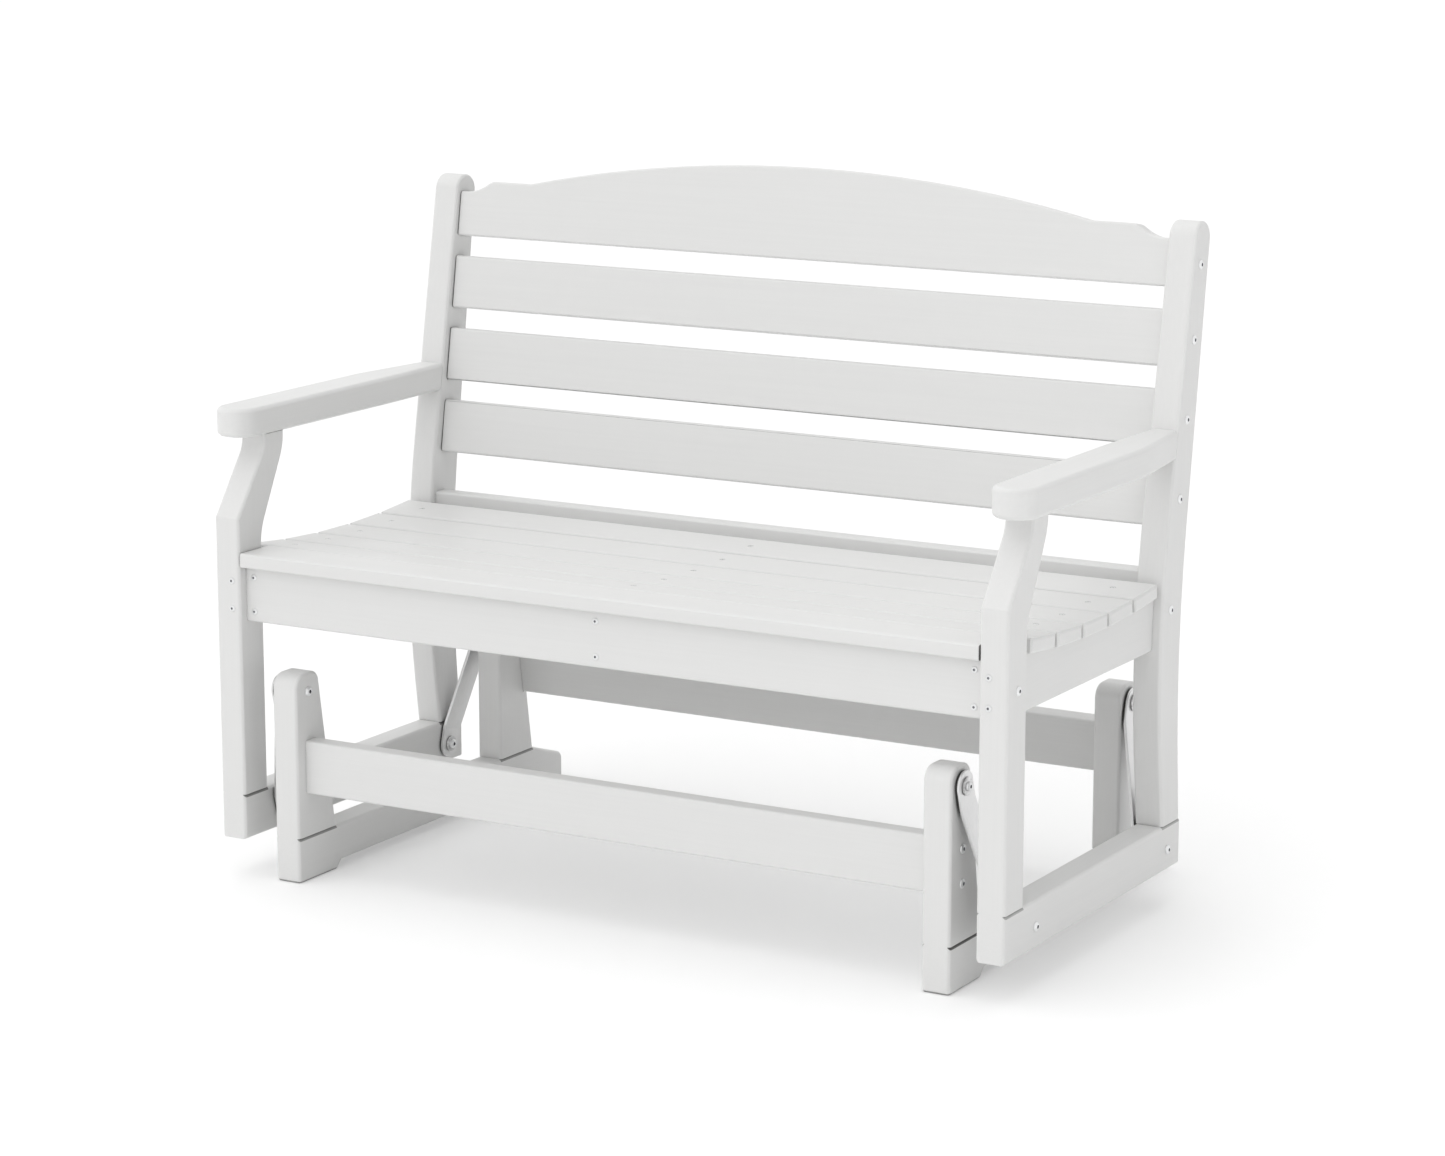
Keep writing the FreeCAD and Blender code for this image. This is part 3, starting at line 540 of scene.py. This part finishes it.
def place_copies(tree, source, result, mesh):
    """Add nodes that set the mesh on every point, turned to the point's outward direction."""
    outward = tree.nodes.new("GeometryNodeInputNamedAttribute")
    outward.data_type = "FLOAT_VECTOR"
    outward.inputs["Name"].default_value = "outward"
    turn = tree.nodes.new("FunctionNodeAlignRotationToVector")
    turn.axis = "Z"
    copies = tree.nodes.new("GeometryNodeInstanceOnPoints")
    real = tree.nodes.new("GeometryNodeRealizeInstances")
    coat = tree.nodes.new("GeometryNodeSetMaterial")
    set_links(
        tree, (outward.outputs["Attribute"], turn.inputs["Vector"]),
        (source.outputs["Geometry"], copies.inputs["Points"]),
        (smooth_by_angle(tree, mesh), copies.inputs["Instance"]),
        (turn.outputs["Rotation"], copies.inputs["Rotation"]),
        (copies.outputs["Instances"], real.inputs["Geometry"]),
        (real.outputs["Geometry"], coat.inputs["Geometry"]),
        (source.outputs["Material"], coat.inputs["Material"]),
        (coat.outputs["Geometry"], result.inputs["Geometry"]))


def new_tree(name, sizes):
    """Empty geometry tree with a geometry, some sizes and a material as its inputs."""
    tree = bpy.data.node_groups.new(name, "GeometryNodeTree")
    tree.is_modifier = True
    tree.interface.new_socket("Geometry", in_out="INPUT", socket_type="NodeSocketGeometry")
    for size in sizes:
        tree.interface.new_socket(size, in_out="INPUT", socket_type="NodeSocketFloat")
    tree.interface.new_socket("Material", in_out="INPUT", socket_type="NodeSocketMaterial")
    tree.interface.new_socket("Geometry", in_out="OUTPUT", socket_type="NodeSocketGeometry")
    return tree, tree.nodes.new("NodeGroupInput"), tree.nodes.new("NodeGroupOutput")


def arithmetic(tree, operation, first, second):
    """Add a maths node on two sockets or numbers."""
    node = tree.nodes.new("ShaderNodeMath")
    node.operation = operation
    for socket, value in zip(node.inputs, (first, second)):
        if isinstance(value, float):
            socket.default_value = value
        else:
            tree.links.new(value, socket)
    return node.outputs["Value"]


shank_sides = 24


def screw_tree():
    """Geometry tree: a shank with a domed head and a sunk drive, drawn up ring by ring."""
    tree, source, result = new_tree(
        "Domed screw", ("Head radius", "Head height", "Shank radius", "Shank length"))
    shank = tree.nodes.new("GeometryNodeMeshCylinder")
    shank.inputs["Vertices"].default_value = shank_sides
    drop = tree.nodes.new("ShaderNodeCombineXYZ")
    lower = tree.nodes.new("GeometryNodeTransform")
    set_links(
        tree, (source.outputs["Shank radius"], shank.inputs["Radius"]),
        (source.outputs["Shank length"], shank.inputs["Depth"]),
        (arithmetic(tree, "MULTIPLY", source.outputs["Shank length"], -0.5), drop.inputs["Z"]),
        (shank.outputs["Mesh"], lower.inputs["Geometry"]),
        (drop.outputs["Vector"], lower.inputs["Translation"]))
    mesh = lower.outputs["Geometry"]
    top = shank.outputs["Top"]
    overhang = arithmetic(tree, "DIVIDE", source.outputs["Head radius"], source.outputs["Shank radius"])
    # Each ring: its rise as a share of the head's height, and its size against the ring before it.
    seat_and_dome = ((0.0, overhang), (0.34, 0.985), (0.30, 0.92), (0.22, 0.80), (0.14, 0.60))
    sunk_drive = ((0.0, 0.88), (-0.55, 0.85))
    for rise, scale in seat_and_dome + sunk_drive:
        draw = tree.nodes.new("GeometryNodeExtrudeMesh")
        draw.inputs["Individual"].default_value = False
        size = tree.nodes.new("GeometryNodeScaleElements")
        if isinstance(scale, float):
            size.inputs["Scale"].default_value = scale
        else:
            tree.links.new(scale, size.inputs["Scale"])
        lift = arithmetic(tree, "MULTIPLY", source.outputs["Head height"], rise)
        set_links(
            tree, (mesh, draw.inputs["Mesh"]), (top, draw.inputs["Selection"]),
            (lift, draw.inputs["Offset Scale"]), (draw.outputs["Mesh"], size.inputs["Geometry"]),
            (draw.outputs["Top"], size.inputs["Selection"]))
        mesh = size.outputs["Geometry"]
        top = draw.outputs["Top"]
    inside = tree.nodes.new("FunctionNodeBooleanMath")
    inside.operation = "OR"
    mark = tree.nodes.new("GeometryNodeStoreNamedAttribute")
    mark.domain = "FACE"
    mark.inputs["Name"].default_value = "drive"
    mark.inputs["Value"].default_value = 1.0
    set_links(
        tree, (top, inside.inputs[0]), (draw.outputs["Side"], inside.inputs[1]),
        (inside.outputs["Boolean"], mark.inputs["Selection"]), (mesh, mark.inputs["Geometry"]))
    place_copies(tree, source, result, mark.outputs["Geometry"])
    return tree


def grow(name, tree, places, outward, sizes, material):
    """Run a tree on a set of places and keep the result as a plain mesh."""
    points = bpy.data.meshes.new(name + "_places")
    points.from_pydata([tuple(place) for place in places], [], [])
    aim = points.attributes.new("outward", "FLOAT_VECTOR", "POINT")
    aim.data.foreach_set("vector", np.array(outward, dtype=np.float32).ravel())
    piece = bpy.data.objects.new(name, points)
    bpy.context.scene.collection.objects.link(piece)
    modifier = piece.modifiers.new("Copies", "NODES")
    modifier.node_group = tree
    for socket in tree.interface.items_tree:
        if socket.in_out == "INPUT" and socket.name in sizes:
            modifier[socket.identifier] = sizes[socket.name]
        if socket.in_out == "INPUT" and socket.name == "Material":
            modifier[socket.identifier] = material
    grown = piece.evaluated_get(bpy.context.evaluated_depsgraph_get())
    mesh = bpy.data.meshes.new_from_object(grown)
    mesh.name = name
    piece.modifiers.clear()
    piece.data = mesh
    bpy.data.meshes.remove(points)
    return piece


def screw_finish(name, socket_colour):
    """Bright steel, with the drive of the head in a colour given apart; a dark one paints the shade in the
    socket.
    """
    material = steel_finish(
        name, across=700.0, along=700.0, bright=(0.86, 0.865, 0.87), dull=(0.76, 0.765, 0.77), metallic=0.9)
    tree = material.node_tree
    drive = tree.nodes.new("ShaderNodeAttribute")
    drive.attribute_name = "drive"
    colour = tree.nodes["Principled BSDF"].inputs["Base Color"]
    steel = colour.links[0].from_socket
    tree.links.new(blend_colours(tree, drive.outputs["Fac"], steel, socket_colour), colour)
    return material


# The near-black drive colour of these heads is painted shade in the socket; on the flush slat screws it is
# close to the steel's own tone.
screw_steel = screw_finish("tumbled_steel", (0.20, 0.205, 0.22, 1.0))
filled_steel = screw_finish("filled_steel", (0.76, 0.76, 0.76, 1.0))
domed_screw = screw_tree()


def dress_screws(node, body, material=screw_steel, sizes_of=headed_sizes):
    """Replace a node of plain screws by domed ones of the same sizes."""
    found = [sizes_of(points) for points in solids_of(node)]
    seats = [screw["seat"] for screw in found]
    outward = [screw["outward"] for screw in found]
    piece = grow(node + "_domed", domed_screw, seats, outward, found[0], material)
    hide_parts(node)
    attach(piece, body)


for node in ("front_stretcher_bolts", "rear_stretcher_screws", "upright_screws"):
    dress_screws(node, "base")
for node in (
        "front_apron_screws", "leg_screws", "leg_bolts", "post_screws", "arm_screws", "bottom_rail_screws"):
    dress_screws(node, "bench")
dress_screws("seat_slat_screws", "bench", filled_steel)


# Pivots. At each eye a bolt with a domed head runs through a flanged bush or a spacer into a nut, so
# that the steel arm turns on the bush and stays clear of the board.
pivot_line = np.array((1.0, 0.0, 0.0))
stub_share = 0.5
stub_length = 0.001


def cap_nut_sizes(points):
    """Seat, outward direction and sizes of a cap nut, which has only a stub inside the end of its bolt."""
    along = points @ pivot_line
    middle = points.mean(axis=0)
    radial = np.linalg.norm(points[:, 1:] - middle[1:], axis=1)
    narrow_end = along[radial.argmin()]
    seat = along.max() if narrow_end < along.mean() else along.min()
    return {
        "seat": np.array((seat, middle[1], middle[2])), "outward": pivot_line * np.sign(narrow_end - seat),
        "Head radius": float(radial.max()), "Head height": float(abs(narrow_end - seat)),
        "Shank radius": float(radial.max()) * stub_share, "Shank length": stub_length}


ring_points = 40
ring_round = 0.0006
ring_round_steps = 3


def add_ring(tree, outer, inner, thickness, bottom):
    """Add nodes for a ring with rounded edges, standing on a height."""
    middle = arithmetic(tree, "MULTIPLY", arithmetic(tree, "ADD", outer, inner), 0.5)
    path = tree.nodes.new("GeometryNodeCurvePrimitiveCircle")
    path.inputs["Resolution"].default_value = ring_points
    section = tree.nodes.new("GeometryNodeCurvePrimitiveQuadrilateral")
    rounded = tree.nodes.new("GeometryNodeFilletCurve")
    rounded.mode = "POLY"
    rounded.inputs["Count"].default_value = ring_round_steps
    rounded.inputs["Radius"].default_value = ring_round
    swept = tree.nodes.new("GeometryNodeCurveToMesh")
    lift = tree.nodes.new("ShaderNodeCombineXYZ")
    move = tree.nodes.new("GeometryNodeTransform")
    half = arithmetic(tree, "MULTIPLY", thickness, 0.5)
    set_links(
        tree, (middle, path.inputs["Radius"]),
        (arithmetic(tree, "SUBTRACT", outer, inner), section.inputs["Width"]),
        (thickness, section.inputs["Height"]), (section.outputs["Curve"], rounded.inputs["Curve"]),
        (path.outputs["Curve"], swept.inputs["Curve"]),
        (rounded.outputs["Curve"], swept.inputs["Profile Curve"]),
        (swept.outputs["Mesh"], move.inputs["Geometry"]),
        (arithmetic(tree, "ADD", bottom, half), lift.inputs["Z"]),
        (lift.outputs["Vector"], move.inputs["Translation"]))
    return move.outputs["Geometry"]


def add_flange(tree, source):
    """Add nodes for the wide ring of a spacer or bush, standing on its seat."""
    return add_ring(
        tree, source.outputs["Head radius"], source.outputs["Bore radius"],
        thickness=source.outputs["Head height"], bottom=0.0)


def spacer_tree():
    """Geometry tree: a plain ring."""
    tree, source, result = new_tree("Spacer", ("Head radius", "Bore radius", "Head height"))
    place_copies(tree, source, result, add_flange(tree, source))
    return tree


def bush_tree():
    """Geometry tree: a sleeve with a flange on its outer end."""
    tree, source, result = new_tree(
        "Flanged bush", ("Head radius", "Bore radius", "Head height", "Sleeve radius", "Sleeve length"))
    flange = add_flange(tree, source)
    sleeve_end = arithmetic(tree, "MULTIPLY", source.outputs["Sleeve length"], -1.0)
    sleeve = add_ring(
        tree, source.outputs["Sleeve radius"], source.outputs["Bore radius"],
        thickness=source.outputs["Sleeve length"], bottom=sleeve_end)
    whole = tree.nodes.new("GeometryNodeJoinGeometry")
    set_links(tree, (flange, whole.inputs["Geometry"]), (sleeve, whole.inputs["Geometry"]))
    place_copies(tree, source, result, whole.outputs["Geometry"])
    return tree


def ring_sizes(points):
    """Sizes of a spacer or a flanged bush, whose bore, sleeve and flange have radii of their own."""
    ring = headed_sizes(points, pivot_line)
    offset = points - points.mean(axis=0)
    radial = np.unique(np.linalg.norm(offset[:, 1:], axis=1).round(5))
    ring["Bore radius"] = float(radial[0])
    ring["Sleeve radius"] = float(radial[1])
    ring["Sleeve length"] = ring["Shank length"]
    return ring


def dress_rings(node, body, tree, material):
    """Replace a node of plain bushes or spacers by round ones of the same sizes."""
    found = [ring_sizes(points) for points in solids_of(node)]
    seats = [ring["seat"] for ring in found]
    outward = [ring["outward"] for ring in found]
    piece = grow(node + "_round", tree, seats, outward, found[0], material)
    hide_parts(node)
    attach(piece, body)


for node in ("upper_pivot_bolts", "upper_pivot_nuts"):
    dress_screws(node, "base")
dress_screws("lower_pivot_bolts", "bench")
dress_screws("lower_pivot_nuts", "bench", sizes_of=cap_nut_sizes)
ring_steel = steel_finish(
    "turned_steel", across=40.0, along=260.0,
    bright=(0.84, 0.84, 0.84), dull=(0.40, 0.40, 0.40), metallic=0.9)
plain_ring = spacer_tree()
flanged_bush = bush_tree()
dress_rings("upper_pivot_spacers", "base", plain_ring, ring_steel)
dress_rings("lower_pivot_spacers", "bench", plain_ring, ring_steel)
dress_rings("front_arm_bushes", "front_arms", flanged_bush, ring_steel)
dress_rings("rear_arm_bushes", "rear_arms", flanged_bush, ring_steel)


# Pegs. Short plain dowels of the same plastic, set out of sight between leg and arm and under the front
# slat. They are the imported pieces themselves, with only a finish of their own.
peg_finish = board_finish("peg_plastic", "Z", across=300.0, along=20.0)
for name in ("arm_dowels", "front_slat_dowels"):
    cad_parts[name].data.materials.clear()
    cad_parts[name].data.materials.append(peg_finish)


# Floor. A plain pale sheet that runs out of the picture on every side and keeps the soft shadow of the
# glider.
def seen_share(tree):
    """Add nodes that tell the rays of the lens, of gloss and of glass from those that light the object."""
    ray = tree.nodes.new("ShaderNodeLightPath")
    direct = arithmetic(tree, "MAXIMUM", ray.outputs["Is Camera Ray"], ray.outputs["Is Glossy Ray"])
    return arithmetic(tree, "MAXIMUM", direct, ray.outputs["Is Transmission Ray"])


floor_side = 30.0
floor_front = -30.0
floor_back = 60.0
bounced_tone = (0.95, 0.95, 0.95, 1.0)
shadowed_tone = (0.74, 0.74, 0.74, 1.0)
glow_strength = 0.26
floor_corners = [
    (-floor_side, floor_front, 0), (floor_side, floor_front, 0),
    (floor_side, floor_back, 0), (-floor_side, floor_back, 0)]
floor_mesh = bpy.data.meshes.new("floor")
floor_mesh.from_pydata(floor_corners, [], [(0, 1, 2, 3)])
floor = bpy.data.objects.new("floor", floor_mesh)
bpy.context.scene.collection.objects.link(floor)
floor_paper = bpy.data.materials.new("floor_paper")
floor_paper.use_nodes = True
paper = floor_paper.node_tree
paper.nodes.remove(paper.nodes["Principled BSDF"])
bounce = paper.nodes.new("ShaderNodeBsdfDiffuse")
bounce.inputs["Color"].default_value = bounced_tone
shadowed = paper.nodes.new("ShaderNodeBsdfDiffuse")
shadowed.inputs["Color"].default_value = shadowed_tone
glow = paper.nodes.new("ShaderNodeEmission")
glow.inputs["Strength"].default_value = glow_strength
seen = paper.nodes.new("ShaderNodeAddShader")
either = paper.nodes.new("ShaderNodeMixShader")
set_links(
    paper, (shadowed.outputs["BSDF"], seen.inputs[0]), (glow.outputs["Emission"], seen.inputs[1]),
    (seen_share(paper), either.inputs["Fac"]), (bounce.outputs["BSDF"], either.inputs[1]),
    (seen.outputs["Shader"], either.inputs[2]),
    (either.outputs["Shader"], paper.nodes["Material Output"].inputs["Surface"]))
floor_mesh.materials.append(floor_paper)


# Light. A white room, brighter overhead and dimmer to the right and behind, with one large soft lamp in
# front and a smaller one near the right end. What the lens or the steel sees of the room is plain white.
wall_light = 0.70
overhead_light = 1.74
right_share = 0.12
back_share = 0.60
world = bpy.data.worlds.new("studio")
bpy.context.scene.world = world
world.use_nodes = True
room = world.node_tree
way = room.nodes.new("ShaderNodeTexCoord")
part_of_way = room.nodes.new("ShaderNodeSeparateXYZ")
room.links.new(way.outputs["Generated"], part_of_way.inputs["Vector"])
upward = spread(room, part_of_way.outputs["Z"], (0.0, 1.0), (wall_light, overhead_light))
sideways = spread(room, part_of_way.outputs["X"], (0.0, 1.0), (1.0, right_share))
backward = spread(room, part_of_way.outputs["Y"], (0.0, 1.0), (1.0, back_share))
sky = arithmetic(room, "MULTIPLY", arithmetic(room, "MULTIPLY", upward, sideways), backward)
white = room.nodes.new("ShaderNodeMix")
white.inputs["B"].default_value = 1.0
set_links(
    room, (seen_share(room), white.inputs["Factor"]), (sky, white.inputs["A"]),
    (white.outputs["Result"], room.nodes["Background"].inputs["Strength"]))
room.nodes["Background"].inputs["Color"].default_value = (1.0, 1.0, 1.0, 1.0)
lit_middle = Vector((0.0, 0.0, 0.4))


def add_lamp(name, place, size, power):
    """Soft square lamp aimed at the middle of the glider, out of sight of lens and steel."""
    light = bpy.data.lights.new(name, "AREA")
    light.size = size
    light.energy = power
    lamp = bpy.data.objects.new(name, light)
    lamp.location = place
    lamp.rotation_euler = (lit_middle - lamp.location).to_track_quat("-Z", "Y").to_euler()
    lamp.visible_camera = False
    lamp.visible_glossy = False
    bpy.context.scene.collection.objects.link(lamp)


add_lamp("front_lamp", (-0.4, -4.2, 2.4), size=3.0, power=14.0)
add_lamp("side_lamp", (2.0, -0.2, 0.7), size=1.6, power=4.9)


# Camera. A long lens at the front right, half a metre higher than the back, set so that the glider stands
# in the picture as it does in the photograph.
lens = bpy.data.cameras.new("camera")
lens.lens = 98.28
lens.sensor_width = 36.0
lens.sensor_fit = "HORIZONTAL"
camera = bpy.data.objects.new("camera", lens)
camera.location = (2.5082, -4.3434, 1.4574)
camera.rotation_euler = (math.radians(78.1003), 0.0, math.radians(30.0))
bpy.context.scene.collection.objects.link(camera)
bpy.context.scene.camera = camera
bpy.context.scene.view_settings.view_transform = "Standard"
